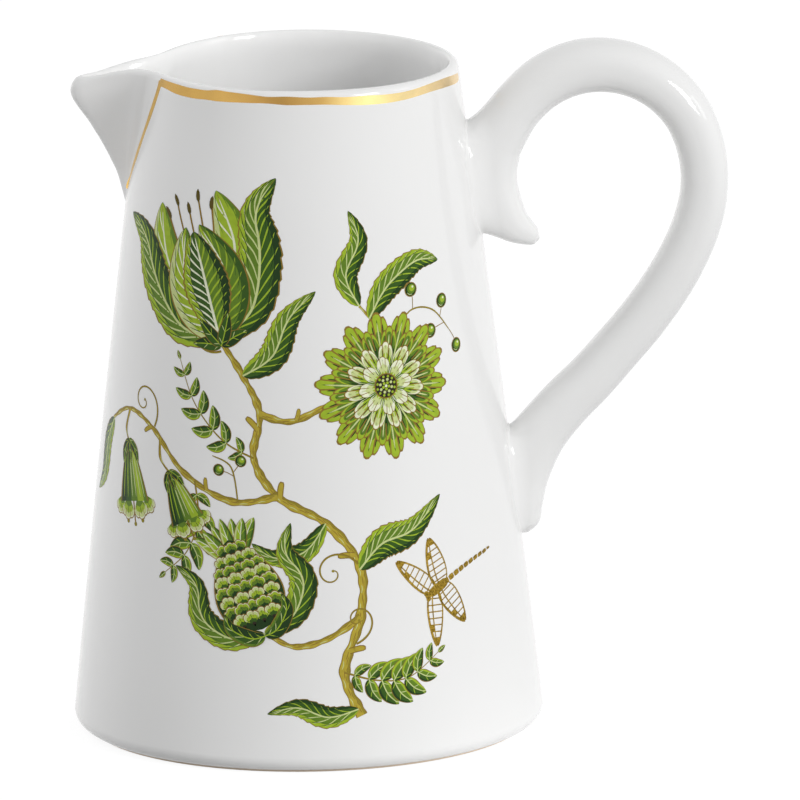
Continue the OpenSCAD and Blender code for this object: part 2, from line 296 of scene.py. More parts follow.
def lift(angle, z):
    rise = drawn["lift"] * smooth((z - drawn["liftFrom"]) / (rimZ - drawn["liftFrom"]))
    return rise * curveAt(liftRows, np.degrees(np.abs(angle)))


def lipTable(rows):
    # The plan's rows on every column, from the back seam over the nose to the front seam
    fine = spline(rows, lipSide + 1)
    return chain([fine, fine[-2::-1]])


rimOut, footOut, rimIn = lipTable(outerRim), lipTable(outerFoot), lipTable(innerRim)
sides = chain([np.ones(lipSide + 1), -np.ones(lipSide)])


def seamW(z):
    # Half width of the V at height z
    return mix(lip["footW"], lip["halfW"], np.maximum(z - apexZ, 0) / lip["depth"])


def lipPoints(z, depth):
    # Points of the lip columns at heights z, from the outside, depth 0, to the inside, depth 1
    loft = np.clip((z - apexZ) / lip["depth"], 0, 1)
    outer, outerW = (mix(footOut[:, k], rimOut[:, k], loft) for k in (0, 1))
    inner, innerW = (mix(footOut[:, k], rimIn[:, k], loft) for k in (0, 1))
    tight = drawnIn(z)
    hollow = np.maximum(0, reach(z) - lip["noseT"] + wallThick(z))

    # Up to the fold the lip runs on as the wall does, and past it the wall is no longer drawn in
    out = mix(tight * (1 + np.minimum(rimOut[:, 0], 0) / foldBack) + reach(z) * np.maximum(outer, 0),
              tight * smooth((1 - rimIn[:, 1]) / 0.6) + hollow * np.maximum(inner, 0), depth)
    y = seamW(z) * mix(outerW, innerW, depth)
    r = wallRadius(z) - wallThick(z) * depth - tight
    return stack(-np.sqrt(np.maximum(r * r - y * y, 1)) - out, sides * y, z + lift(np.arcsin(y / r), z))


def wallPoints(z, depth):
    # Points of the wall from the front seam round by the handle to the back seam
    r = wallRadius(z) - wallThick(z) * depth
    start = np.arcsin(seamW(z) / (r - drawnIn(z)))
    angle = mix(start, 2 * np.pi - start, np.linspace(0, 1, wallColumns)[None, :])
    fromLip = np.minimum(angle, 2 * np.pi - angle)
    return polar(r - pinch(fromLip, z), angle, z + lift(fromLip, z))


# Rows: up the outside to the edge, over the rolled rim, and down the inside, where the roll is longer
share = rimOut[:, 0]
crestZ = wall["height"] - lip["noseDrop"] * curveAt(dropRows, share)
outerEdge = crestZ - mix(lipR, lip["noseRoll"], np.maximum(0, share) ** 3)
up = np.linspace(0, 1, upRows)[:, None]
arc = np.pi * np.linspace(0, 1, arcRows + 2)[1:-1, None]
depths = chain([np.zeros((upRows, 1)), (1 - np.cos(arc)) / 2, np.ones((upRows, 1))])


def rowHeights(outer, crest):
    # Heights of the rows above the foot of the V, on columns whose edge and crest are given
    inner = crest - wall["innerRoll"]
    edge = np.where(arc < np.pi / 2, outer, inner)
    return chain([mix(apexZ, outer, up), mix(edge, crest, np.sin(arc)), mix(apexZ, inner, up[::-1])])


lipTop = lipPoints(rowHeights(outerEdge[None, :], crestZ[None, :]), depths)
wallTop = wallPoints(rowHeights(np.full((1, 1), rimZ), np.full((1, 1), wall["height"])), depths)
top = chain([wallTop, lipTop[:, 1:-1]], 1)

# Below the V the section just goes round: heel and wall outside, wall, corner and floor inside
lean = math.atan((wall["baseR"] - wall["rimR"]) / wall["height"])
heelZ = wall["footReveal"] + wall["heelR"]
heelX = float(wallRadius(heelZ)) - wall["heelR"] * math.cos(lean)
floorZ = wall["footH"] + wall["floorT"]
cornerZ = floorZ + wall["cornerR"]
cornerX = float(wallRadius(cornerZ) - wallThick(cornerZ)) - wall["cornerR"] * math.cos(lean)
turn = np.linspace(-np.pi / 2, lean, heelRows)
outsideZ = np.linspace(heelZ + wall["heelR"] * math.sin(lean), apexZ, lowRows)[1:-1]
insideZ = np.linspace(apexZ, cornerZ + wall["cornerR"] * math.sin(lean), innerRows)[1:-1]
lowOutside = chain([
    [[heelX - 0.4, wall["footH"]], [heelX - 0.2, wall["footReveal"]]],
    bow(heelX, heelZ, wall["heelR"], turn), stack(wallRadius(outsideZ), outsideZ)])
lowInside = chain([
    stack(wallRadius(insideZ) - wallThick(insideZ), insideZ),
    bow(cornerX, cornerZ, wall["cornerR"], turn[::-1]),
    stack(np.linspace(cornerX, 3, floorRows)[1:], floorZ)])

# One closed skin from the foot over the rim to the floor, at the angles that its rows at the foot of the V have
skin = chain([revolved(lowOutside, np.arctan2(top[0, :, 1], top[0, :, 0])), top,
              revolved(lowInside, np.arctan2(top[-1, :, 1], top[-1, :, 0]))])
rows, cols = skin.shape[:2]
faces = gridFaces(rows, cols, closed=True)
faceRow, faceCol = np.divmod(np.arange(len(faces)), cols)
firstTop, lastTop = len(lowOutside), len(lowOutside) + len(top) - 1
inLip = (faceCol >= wallColumns - 1) & (faceRow >= firstTop) & (faceRow < lastTop)
points, normals = skin.reshape(-1, 3), gridNormals(skin, closed=True).reshape(-1, 3)
inside = np.repeat(chain([np.zeros(firstTop), depths[:, 0], np.ones(len(lowInside))]), cols)
caps = capFaces((rows - 1) * cols, cols, rows * cols)[:, ::-1], capFaces(0, cols, rows * cols + 1)
body = addPiece("body_glazed", chain([points, [[0, 0, floorZ], [0, 0, wall["footH"]]]]), faces[~inLip],
                chain([normals, [[0, 0, 1], [0, 0, -1]]]), glaze, chain(caps),
                np.append(inside, [1, 0]), node="body", slot="glaze")
lipPiece = addPiece("pouring_lip_glazed", points, faces[inLip], normals, glaze, inside=inside,
                    node="pouring_lip", slot="glaze")
print("body and lip:", len(body.data.polygons), len(lipPiece.data.polygons))


# Foot ring: a wiped ring with soft edges

foot = dict(soft=0.25, columns=240)
soft, inX, bend = foot["soft"], heelX - wall["footW"], np.linspace(0, np.pi / 2, 6)
section = chain([
    [[inX, wall["footH"]]], bow(inX + soft, soft, soft, bend - np.pi),
    bow(heelX - soft, soft, soft, bend - np.pi / 2), [[heelX, wall["footH"]]]])
# The last row of faces leads back to the first row of points, as the ring's top
around = gridFaces(len(section) + 1, foot["columns"], closed=True)[:, ::-1] % (len(section) * foot["columns"])
addPiece("foot_ring_biscuit", revolved(section, np.linspace(0, 2 * np.pi, foot["columns"], endpoint=False)),
         around, None, biscuit, node="foot_ring", slot="biscuit")


# Handle: one strap swept along its middle line, wiped on to the wall at both ends

strap = dict(reach=75.1, thick=14.4, width=18.0, tall=0.7533 * 199.4, lowZ=0.2778 * 199.4, square=2.3,
             sunk=0.5, tailTip=2.0, lowTip=3.4, columns=150, betweenJoints=120)
# Height on the wall and radius of the wiped clay there
filletRows = [[50, 1], [56, 1.5], [60, 2.6], [66, 4], [76, 5.2], [86, 6], [96, 6.6], [120, 6.6],
              [140, 6.3], [155, 6.4], [168, 7.2], [180, 8], [200, 8]]
# Middle of the strap from the tail round to the lower tip: share of the reach out from the wall,
# share of the height, share of the thickness, share of the width
strapRows = [
    [0.245, 0.5965, 0.1, 0.1], [0.236, 0.598, 0.25, 0.24], [0.212, 0.603, 0.42, 0.42],
    [0.14, 0.626, 0.76, 0.72], [0.09, 0.657, 1.02, 0.88], [0.065, 0.691, 1.12, 0.95],
    [0.064, 0.729, 1.16, 0.98], [0.084, 0.767, 1.18, 1], [0.124, 0.803, 1.15, 1],
    [0.236, 0.866, 1.06, 1], [0.378, 0.9165, 1.08, 1], [0.544, 0.9425, 1.1, 1],
    [0.713, 0.938, 1.08, 1], [0.856, 0.905, 1.04, 1], [0.956, 0.849, 1.01, 1],
    [0.999, 0.777, 0.99, 1], [0.992, 0.701, 0.98, 1], [0.94, 0.627, 0.99, 1],
    [0.855, 0.556, 1, 1], [0.753, 0.491, 1.01, 1], [0.635, 0.428, 1.01, 1],
    [0.51, 0.37, 1.01, 1], [0.385, 0.314, 1.03, 1], [0.252, 0.26, 1.06, 0.98],
    [0.131, 0.201, 1.1, 0.93], [0.044, 0.131, 1.08, 0.86], [0.016, 0.07, 0.9, 0.76],
    [0.015, 0.034, 0.73, 0.62], [0.019, 0.013, 0.54, 0.44], [0.022, 0.003, 0.27, 0.22]]
# Row numbers of the rings, as from, to and count: closer where the strap meets the wall and at both tips
spans = [[2.2, 5.5, 90], [5.5, 7.5, 24], [7.5, 9.6, 100], [9.6, 22.6, 170], [22.6, 24.8, 90], [24.8, 27, 34]]
stations = chain([2.2 * np.linspace(0.12, 1, 40) ** 2, *(np.linspace(*span)[1:] for span in spans),
                  29 - 2 * np.linspace(1, 0.01, 60)[1:] ** 2])
line = spline(strapRows, at=stations)
z = strap["lowZ"] + strap["tall"] * line[:, 1]
middle = stack(wallRadius(z) + (strap["reach"] - strap["thick"] / 2) * line[:, 0], 0, z)
run = unit(np.gradient(middle, stations, axis=0))
across = stack(-run[:, 2], 0, run[:, 0])
# Section: a superellipse, |x|^square + |y|^square = 1
around = np.linspace(0, 2 * np.pi, 721)
c, s = np.cos(around), np.sin(around)
full = (np.abs(c) ** strap["square"] + np.abs(s) ** strap["square"]) ** (-1 / strap["square"])
half = line[:, 2:] * (strap["thick"] / 2, strap["width"] / 2)
# Both tips close as half an ellipse along the run
along = chain([[0], np.cumsum(np.linalg.norm(np.diff(middle, axis=0), axis=1))])
for away, tip in ((along, strap["tailTip"]), (along[-1] - along, strap["lowTip"])):
    half *= np.sqrt(np.clip(1 - np.clip(1 - away / tip, 0, 1) ** 2, 1e-5, 1))[:, None]
oval = middle[:, None] + across[:, None] * (half[:, :1] * full * c)[..., None]
oval[..., 1] += half[:, 1:] * full * s
facing = across[:, None] * (c * half[:, 1:])[..., None]
facing[..., 1] += s * half[:, :1]
facing = unit(facing)


def wallGap(p):
    # Distance outside the wall, and the wall's normal there
    r = np.hypot(p[..., 0], p[..., 1])
    n = stack(p[..., 0] / r, p[..., 1] / r, math.tan(lean)) * math.cos(lean)
    return (r - wallRadius(p[..., 2])) * math.cos(lean), n


# Near the wall each point moves out along it, by a quarter round that ends flush with the wall
gap, away = wallGap(oval)
fillet = curveAt(filletRows, oval[..., 2])
left = np.clip(1 - gap / fillet, 0, 1)
flare = fillet * (1 - np.sqrt(1 - left ** 2))
wiped = oval + (facing - away * (facing * away).sum(-1, keepdims=True)) * flare[..., None]
# Pushed sideways it would stand off the round wall, so it is put back to the distance it had
gap = np.maximum(gap, -strap["sunk"])
now, away = wallGap(wiped)
wiped += away * (gap - now)[..., None]

# Even out each ring, with more points where the clay is wiped and few behind the wall
crowd = dict(most=5, within=0.8, behind=-0.45, few=0.12, rounds=60)
step = np.linalg.norm(np.diff(wiped, axis=1), axis=-1)
near = (gap[:, 1:] + gap[:, :-1]) / 2
extra = crowd["most"] * np.exp(-(near / crowd["within"]) ** 2)
step = step * np.where(near < crowd["behind"], crowd["few"], 1 + extra) + 1e-6
done = chain([np.zeros((len(step), 1)), np.cumsum(step, 1)], 1)
done /= done[:, -1:]
for _ in range(crowd["rounds"]):
    done[1:-1] = done[1:-1] / 2 + (done[:-2] + done[2:]) / 4
even = np.linspace(0, 1, strap["columns"] + 1)[:-1]
grid = np.stack([stack(*(np.interp(even, at, part) for part in ring.T)) for at, ring in zip(done, wiped)])
points = chain([grid.reshape(-1, 3), [middle[0], middle[-1]]])
normals = chain([-gridNormals(grid, closed=True).reshape(-1, 3), [-run[0], run[-1]]])
rows, cols = grid.shape[:2]
caps = capFaces(0, cols, rows * cols), capFaces((rows - 1) * cols, cols, rows * cols + 1)[:, ::-1]
faces = gridFaces(rows, cols, closed=True)[:, ::-1]
# The lutings are the wiped clay, up to where the strap goes on by itself
gap, _ = wallGap(grid)
isWiped = ((gap > -0.3) & (gap < curveAt(filletRows, grid[..., 2]) * 0.8)).reshape(-1)[faces].all(1)
isHigh = points[faces, 2].mean(1) > strap["betweenJoints"]
handle = addPiece("handle_glazed", points, faces[~isWiped], normals, glaze, chain(caps),
                  node="handle", slot="glaze")
lutings = [addPiece(name + "_luting_glazed", points, faces[isWiped & there], normals, glaze,
                    node=name + "_luting", slot="glaze") for name, there in (("upper", isHigh), ("lower", ~isHigh))]
print("handle and lutings:", *(len(piece.data.polygons) for piece in [handle, *lutings]))


# Print: shapes drawn in millimetres on the unrolled front of the wall, x round it and y up it

ink = dict(outline=(0.27, 0.17, 0.025), charcoal=(0.03, 0.025, 0.01), dark=(0.014, 0.045, 0.007),
           deep=(0.04, 0.105, 0.01), mid=(0.125, 0.23, 0.018), lime=(0.36, 0.51, 0.028),
           pale=(0.61, 0.69, 0.29), cream=(0.83, 0.86, 0.64), olive=(0.31, 0.25, 0.025),
           bark=(0.11, 0.08, 0.01), straw=(0.49, 0.38, 0.04), gold=(0.42, 0.29, 0.06))
inkNames = list(ink)
# Width of the strips that shapes are cut into, and of the cells that tell what lies on what
strip, cell = 1.0, 0.8
sheet, motif, laid = [], [], {}


def addShape(points, faces, names, above):
    number = np.array([inkNames.index(name) for name in names])
    motif.append((np.asarray(points, float).reshape(-1, 2), np.asarray(faces).reshape(-1, 4), number, above))


def settle(group):
    # Lays the motif's shapes on top of whatever is under any of them
    cells = {tuple(c) for part in motif for c in np.unique(np.floor(part[0] / cell).astype(int), axis=0)}
    base = 1 + max((laid.get(c, -1) for c in cells), default=-1)
    highest = base + max(part[3] for part in motif)
    laid.update((c, max(laid.get(c, -1), highest)) for c in cells)
    sheet.extend((points, faces, number, base + above, group) for points, faces, number, above in motif)
    motif.clear()


def placed(points, at, angle, size=1.0):
    # Points drawn round the origin, scaled, turned by degrees and moved to their place
    c, s = math.cos(math.radians(angle)), math.sin(math.radians(angle))
    points = np.asarray(points, float).reshape(-1, 2) * size
    return points @ np.array([[c, s], [-s, c]]) + np.asarray(at, float)


def circled(angle):
    return stack(np.cos(angle), np.sin(angle))


def oddLast(count):
    return [*range(0, count, 2), *range(1, count, 2)]


def sideOf(path):
    # Unit vectors to the left of a path
    run = np.gradient(path, axis=0)
    return unit(stack(-run[:, 1], run[:, 0]))


def strips(edges, names, size):
    # Edges with more between them, so that no strip is wider than it may be, and each strip's ink
    shares, inks = [edges[0]], []
    for a, b, name in zip(edges, edges[1:], names):
        count = max(1, int(np.ceil((b - a) * size / strip)))
        shares += list(np.linspace(a, b, count + 1)[1:])
        inks += [name] * count
    return shares, inks


def ribbon(path, half, edges, names, above=0):
    # A band along a path: each ink lies between two shares of the half width
    shares, inks = strips(edges, names.split(), half.max())
    points = path[:, None] + sideOf(path)[:, None] * (half[:, None] * np.array(shares))[..., None]
    addShape(points, gridFaces(len(path), len(shares)), inks * (len(path) - 1), above)


def length(path):
    return float(np.hypot(*np.diff(spline(path, 30), axis=0).T).sum())


def stroke(path, wide, name, above, taper=(0.15, 0.0), n=None):
    # A pen stroke that swells in its middle
    n = n or max(5, int(length(path) / strip) + 2)
    t = np.linspace(0, 1, n)
    ends = mix(*taper, t)
    ribbon(spline(path, n), wide / 2 * (ends + (1 - ends) * np.sin(np.pi * t) ** 0.6), [-1, 1], name, above)


def dot(at, r, name, above, sides=12):
    # Rings of quads round a small middle
    rings = max(2, int(np.ceil(r / strip)) + 1)
    radii = np.linspace(0.02, 1, rings) * r
    points = np.asarray(at, float) + radii[:, None, None] * circled(np.linspace(0, 2 * np.pi, sides, endpoint=False))
    addShape(points, gridFaces(rings, sides, closed=True), [name] * ((rings - 1) * sides), above)


def leaf(path, wide, teeth=0, veins=7, tooth=0.12, fat=0.42, bands="dark deep mid lime", rib="pale", lean=0.16,
         group="leaves"):
    # Half width: wide * sin(pi * u ** p) ** 0.9, fattest at the share fat, with teeth that point to the tip
    n = max(18, int(length(path) / strip * 1.6), teeth * 4)
    path, u, t = spline(path, n), np.linspace(0, 1, n), np.linspace(0, 1, 5)
    full = wide * np.sin(np.pi * u ** (math.log(0.5) / math.log(fat))) ** 0.9
    half = np.maximum(full * (1 - tooth * np.mod(u * teeth, 1)), 0.02)
    a, b, c, d = bands.split()
    rim = min(0.93, 1 - 0.22 / wide)
    ribbon(path, half, [-1, -rim, -0.62, -0.05, 0.05, 0.62, rim, 1], f"outline {a} {b} outline {c} {d} outline")
    side = sideOf(path)

    def at(along, across):
        middle, out = (stack(*(np.interp(along, u, part) for part in p.T)) for p in (path, side))
        return middle + out * (np.interp(along, u, full) * across)[:, None]

    for k in range(veins):
        start = mix(0.1, 0.8, k / max(veins - 1, 1))
        for way in (1, -1):
            name = "lime" if way < 0 else "cream" if rib == "cream" else "pale"
            stroke(at(start + lean * t ** 0.8, way * mix(0.03, 0.8, t)), wide * 0.055 + 0.09, name, 1)
            if veins > 4:
                stroke(at(start + 0.05 + lean * t ** 0.8, way * mix(0.45, 0.86, t)), wide * 0.03 + 0.06, a, 2)
    stroke(at(np.linspace(0, 0.93, 9), np.zeros(9)), wide * 0.09 + 0.12, rib, 3, (1, 0), max(10, n // 2))
    settle(group)


def fan(at, angle, long, spread, bands, depth=0.06, rim=0.94, hatch=3, hatchInk="dark", narrow=0.25, fall=0.22,
        start=0.0, hatchTo=0.8):
    # A petal that opens like a fan: radius long * R(t), with R in three scallops and falling to both sides
    scallops = 3
    n = max(4 * scallops, int(2 * math.radians(spread) * long / strip)) + 1
    t = np.linspace(-1, 1, n)
    edge = (1 - fall * np.abs(t) ** 2.2) * (1 - depth * (1 - np.abs(np.sin(np.pi * (t + 1) / 2 * scallops))) ** 1.5)
    rows, inks = strips([start, 0.3, 0.52, 0.74, 0.9, rim, 1], (bands + " outline").split(), long)

    def where(r, across, top):
        bend = np.radians(spread) * across * np.maximum(r, 1e-6) ** narrow
        return placed((r * top * long)[:, None] * circled(bend), at, angle)

    points = np.stack([where(np.full(n, r), t, edge) for r in rows])
    addShape(points, gridFaces(len(rows), n), np.repeat(inks, n - 1), 0)

    def line(across, r, wide, *rest):
        across = np.full(len(r), across)
        stroke(where(r, across, np.interp(across, t, edge)), long * wide[0] + wide[1], *rest)

    for k in range(hatch):
        across = mix(-0.86, 0.86, k / max(hatch - 1, 1))
        first = max(0.34 + 0.16 * (k % 2) + 0.12 * abs(across), start)
        line(across, np.linspace(first, hatchTo, 5), (0.022, 0.04), hatchInk, 1)
    for k in range(1, scallops):
        line(-1 + 2 * k / scallops, np.linspace(0.62, 0.985, 4), (0.018, 0.05), "outline", 2, (0, 1))
    settle("blossoms")


def stem(path, wide, end=0.7, knots=()):
    # Woody stem: an outline, a light and a dark side, short bark strokes and broken-off twigs
    n = max(12, int(length(path) * 1.6))
    path, u = spline(path, n), np.linspace(0, 1, n)
    half = wide / 2 * mix(1, end, u) * (1 + 0.14 * np.sin(u * n * 0.31) + 0.12 * np.sin(u * n * 0.83 + 1))
    ribbon(path, half, [-1, -0.8, -0.45, 0.82, 1], "outline olive straw outline")
    side = sideOf(path)
    run = stack(side[:, 1], -side[:, 0])
    for k in range(2, n - 5, 2):
        w = half[k] * (0.48, -0.3, 0.12, -0.62)[k // 2 % 4]
        points = [path[k + j] + side[k + j] * w * share for j, share in ((0, 1), (2, 0.6), (4, 1))]
        stroke(points, 0.24, "outline" if k % 8 else "pale", 1)
    for share, way in knots:
        k = int(share * (n - 1))
        out = path[k] + side[k] * way * wide * 1.4 + run[k] * wide * 0.8
        middle = mix(path[k], out, 0.5) + run[k] * 0.2
        stroke([path[k], middle, out], wide * 0.62, "outline", 1, (1, 0.5))
        stroke([path[k], middle, mix(path[k], out, 0.93)], wide * 0.42, "straw", 2, (1, 0.5))
    settle("stems")


def tendril(start, angle, size, turns, hand=1):
    # A spiral that tightens along its length
    t = np.linspace(0, 1, 60)
    heading = np.radians(angle) + hand * 2 * np.pi * turns * t ** 1.25
    path = np.asarray(start, float) + np.cumsum((size * 0.075 * (1.15 - t))[:, None] * circled(heading), 0)
    ribbon(path, np.linspace(0.34, 0.16, 60), [-1, 0, 1], "outline olive")
    dot(path[-1], 0.42, "olive", 1)
    settle("stems")


def dahlia(at, size, turn):
    # Rings of pointed petals round a seeded eye, each ring's odd petals over its even ones
    at = np.asarray(at)
    for count, long, spread, bands, hatch in (
            (14, 1.0, 13, "dark deep mid lime lime", 5), (14, 0.8, 12, "charcoal dark deep mid lime", 5),
            (11, 0.6, 15, "dark mid lime pale cream", 5), (8, 0.4, 20, "deep lime pale cream cream", 3)):
        for k in oddLast(count):
            angle = turn + 360 / count * (k + (long * 5 % 2) / 2)
            fan(at, angle, size * long, spread, bands, 0.05, 0.97, hatch, "dark" if long > 0.7 else "deep",
                narrow=0.12, fall=0.3, start=0.24, hatchTo=0.9)
            rib = np.linspace(0.3, 0.86, 4)[:, None] * size * long * circled(math.radians(angle))
            stroke(at + rib, size * 0.022, "pale", 0)
            settle("blossoms")
    dot(at, size * 0.17, "outline", 0, 20)
    dot(at, size * 0.155, "charcoal", 1, 20)
    for count, r, d, name in ((12, 0.128, 0.018, "lime"), (8, 0.085, 0.02, "pale"), (5, 0.042, 0.02, "lime"),
                              (1, 0, 0.02, "cream")):
        for k in range(count):
            dot(at + size * r * circled(2 * math.pi * (k + r * 20) / count), size * d, name, 2, 8)
    settle("blossoms")


def tulip(at, angle, size):
    # Side view: two petals behind, two that curl out, three in front, and anthers between
    place = partial(placed, at=at, angle=angle - 90, size=size)

    def petal(points, wide, teeth, veins, *rest):
        leaf(place(points), size * wide, teeth, veins, *rest, group="blossoms")

    def pair(points, *rest):
        for way in (-1, 1):
            petal([(x * way, y) for x, y in points], *rest)

    pair([(0, 0.02), (0.16, 0.28), (0.3, 0.62), (0.26, 1.0)], 0.19, 0, 7, 0, 0.52, "mid lime lime pale", "cream")
    for k, x in enumerate((-0.2, -0.1, 0.0, 0.1, 0.2)):
        tip = 0.92 + 0.07 * (k % 2)
        stroke(place([(x * 0.3, 0.4), (x * 0.8, 0.7), (x, tip)]), size * 0.014, "outline", 0, (1, 1))
        stroke(place([(x * 0.94, tip - 0.04), (x, tip), (x * 1.12, tip + 0.05)]), size * 0.034, "bark", 1)
    settle("blossoms")
    pair([(0.02, 0), (0.3, 0.16), (0.46, 0.5), (0.52, 0.8), (0.72, 0.98)], 0.17, 18, 11, 0.1, 0.45)
    pair([(0, 0), (0.12, 0.2), (0.17, 0.48), (0.06, 0.8)], 0.17, 0, 9, 0, 0.5, "deep mid lime pale", "cream")
    petal([(0, -0.01), (0, 0.25), (0, 0.5), (0, 0.76)], 0.2, 16, 10, 0.07, 0.52, "dark mid deep lime", "cream")
    for x, y in ((-0.22, 0.02), (0.22, 0.02), (-0.12, 0.17), (0.12, 0.17)):
        petal([(0, -0.04), (x * 0.5, y * 0.4 - 0.01), (x, y)], 0.05, 0, 3, 0, 0.4, "dark dark deep deep", "lime")


def pomegranate(at, angle, size):
    # A swelling fruit of overlapping scales with a crown, cupped by two leaves and two small ones below
    place = partial(placed, at=at, angle=angle - 90, size=size)
    for way in (-1, 1):
        leaf(place([(0, -0.05), (0.34 * way, 0.02), (0.56 * way, 0.3), (0.5 * way, 0.62), (0.66 * way, 0.86)]),
             size * 0.15, 15, 9, group="blossoms")
    for k in (0, 2, 4, 6, 1, 3, 5):
        way = (k - 3) / 3
        leaf(place([(way * 0.1, 0.72), (way * 0.2, 0.9), (way * 0.34, 1.14 - 0.1 * abs(way))]), size * 0.07, 0, 4,
             0, 0.5, "deep mid lime pale", "cream", group="blossoms")
    u = np.linspace(0, 1, 50)
    half = size * 0.4 * np.sin(np.pi * u ** 0.8) ** 0.62 * (1 - 0.25 * u)
    ribbon(place(stack(0, 0.92 * u)), np.maximum(half, 0.02), [-1, -0.96, 0.96, 1], "outline dark outline")
    settle("blossoms")
    for row in range(7, -1, -1):
        y = mix(0.1, 0.8, row / 7)
        wide = float(np.interp(y / 0.92, u, half)) / size
        count = (5 if row % 2 else 4) - (2 if wide < 0.2 else 0)
        bands = "charcoal dark mid lime cream" if row % 2 else "charcoal deep lime pale cream"
        for k in oddLast(count):
            x = (k - (count - 1) / 2) * wide * 1.62 / count
            fan(place((x, y - 0.05))[0], angle - x * 70, size * (0.15 + 0.02 * (row < 5)), 44, bands, 0.1)
    for way in (-1, 1):
        leaf(place([(0, -0.07), (0.14 * way, -0.05), (0.3 * way, 0.1), (0.31 * way, 0.26)]), size * 0.085, 0, 5, 0,
             bands="dark dark deep mid", rib="lime", group="blossoms")


def bell(at, angle, size):
    # A hanging bell: its half width swells to a flared mouth, with scallops behind it
    place = partial(placed, at=at, angle=angle, size=size)
    for k, x in enumerate((-0.12, 0, 0.12)):
        tip = 1.16 - 0.05 * (k != 1)
        stroke(place([(0.6, x), (0.9, x * 1.2), (tip, x * 1.5)]), size * 0.03, "outline", 0, (1, 1))
        dot(place((tip + 0.01, x * 1.5))[0], size * 0.035, "olive", 1, 8)
    settle("blossoms")
    for x, long in ((-0.34, 0.34), (0.34, 0.34), (-0.14, 0.4), (0.14, 0.4)):
        fan(place((0.72, x * 0.75))[0], angle + x * 90, size * long, 34, "deep mid lime pale cream", rim=0.955,
            narrow=0.15, fall=0.25)
    u = np.linspace(0, 1, 34)
    half = size * (0.1 + 0.17 * np.sin(np.pi * u * 0.62) + 0.1 * u ** 3)
    half[:4] *= (0.35, 0.7, 0.88, 0.97)
    path = place(stack(u * 0.84, 0))
    ribbon(path, half, [-1, -0.92, -0.55, -0.15, 0.3, 0.72, 0.92, 1], "outline dark deep mid lime mid outline")
    side = sideOf(path)
    row = np.arange(6, 33, 5)
    for v in (-0.72, -0.4, -0.05, 0.22, 0.52, 0.8):
        stroke(path[row] + side[row] * (half[row] * v)[:, None], size * 0.022, "pale" if v > -0.2 else "lime", 1)
    settle("blossoms")
    for x in (-0.2, 0.0, 0.2):
        leaf(place([(-0.06, 0), (0.1, x * 0.7), (0.3, x)]), size * 0.07, 0, 3, 0, 0.4, "dark dark deep mid", "lime",
             group="blossoms")


def frond(path, long, pairs):
    # Leaflets in pairs along a rib, longest below the middle
    path = spline(path, pairs * 6 + 1)
    heading = np.degrees(np.arctan2(*sideOf(path).T[::-1])) - 90
    ribbon(path, np.linspace(0.32, 0.1, len(path)), [-1, 0, 1], "outline olive")
    settle("stems")
    for k in range(1, pairs + 1):
        size = long * (math.sin(math.pi * (k / (pairs + 1)) ** 0.75) + 0.12)
        for way in (-1, 1) if k < pairs else (0,):
            points = [(0, 0), (size * 0.5, size * 0.05 * way), (size, -size * 0.1 * way)]
            leaf(placed(points, path[k * 6], heading[k * 6] + way * 52), size * 0.26, 0, 3, 0)


def berries(path, spots, r):
    # Shaded berries, each on a thin stalk from the nearest place on the twig
    stroke(path, 0.5, "outline", 0, (1, 0.4))
    stroke(path, 0.28, "olive", 1, (1, 0.4))
    near = spline(path, 40)
    for x, y in spots:
        root = near[np.argmin(np.hypot(near[:, 0] - x, near[:, 1] - y + r * 1.5))]
        stroke([root, mix(root, np.array([x, y]), 0.5) + (0.3, 0.2), (x, y)], 0.26, "outline", 0, (1, 0.6))
    settle("stems")
    for x, y in spots:
        for above, (dx, dy, size, name) in enumerate(((0, 0, 1, "outline"), (0, 0, 0.88, "dark"),
                                                      (0.1, 0.08, 0.66, "mid"), (0.18, 0.16, 0.42, "lime"),
                                                      (0.3, 0.34, 0.15, "cream"))):
            dot((x + r * dx, y + r * dy), r * size, name, above, 18)
        shine = [(x - r * 0.6, y - r * 0.35), (x - r * 0.2, y - r * 0.66), (x + r * 0.3, y - r * 0.62)]
        stroke(shine, r * 0.1, "pale", 2)
        settle("leaves")


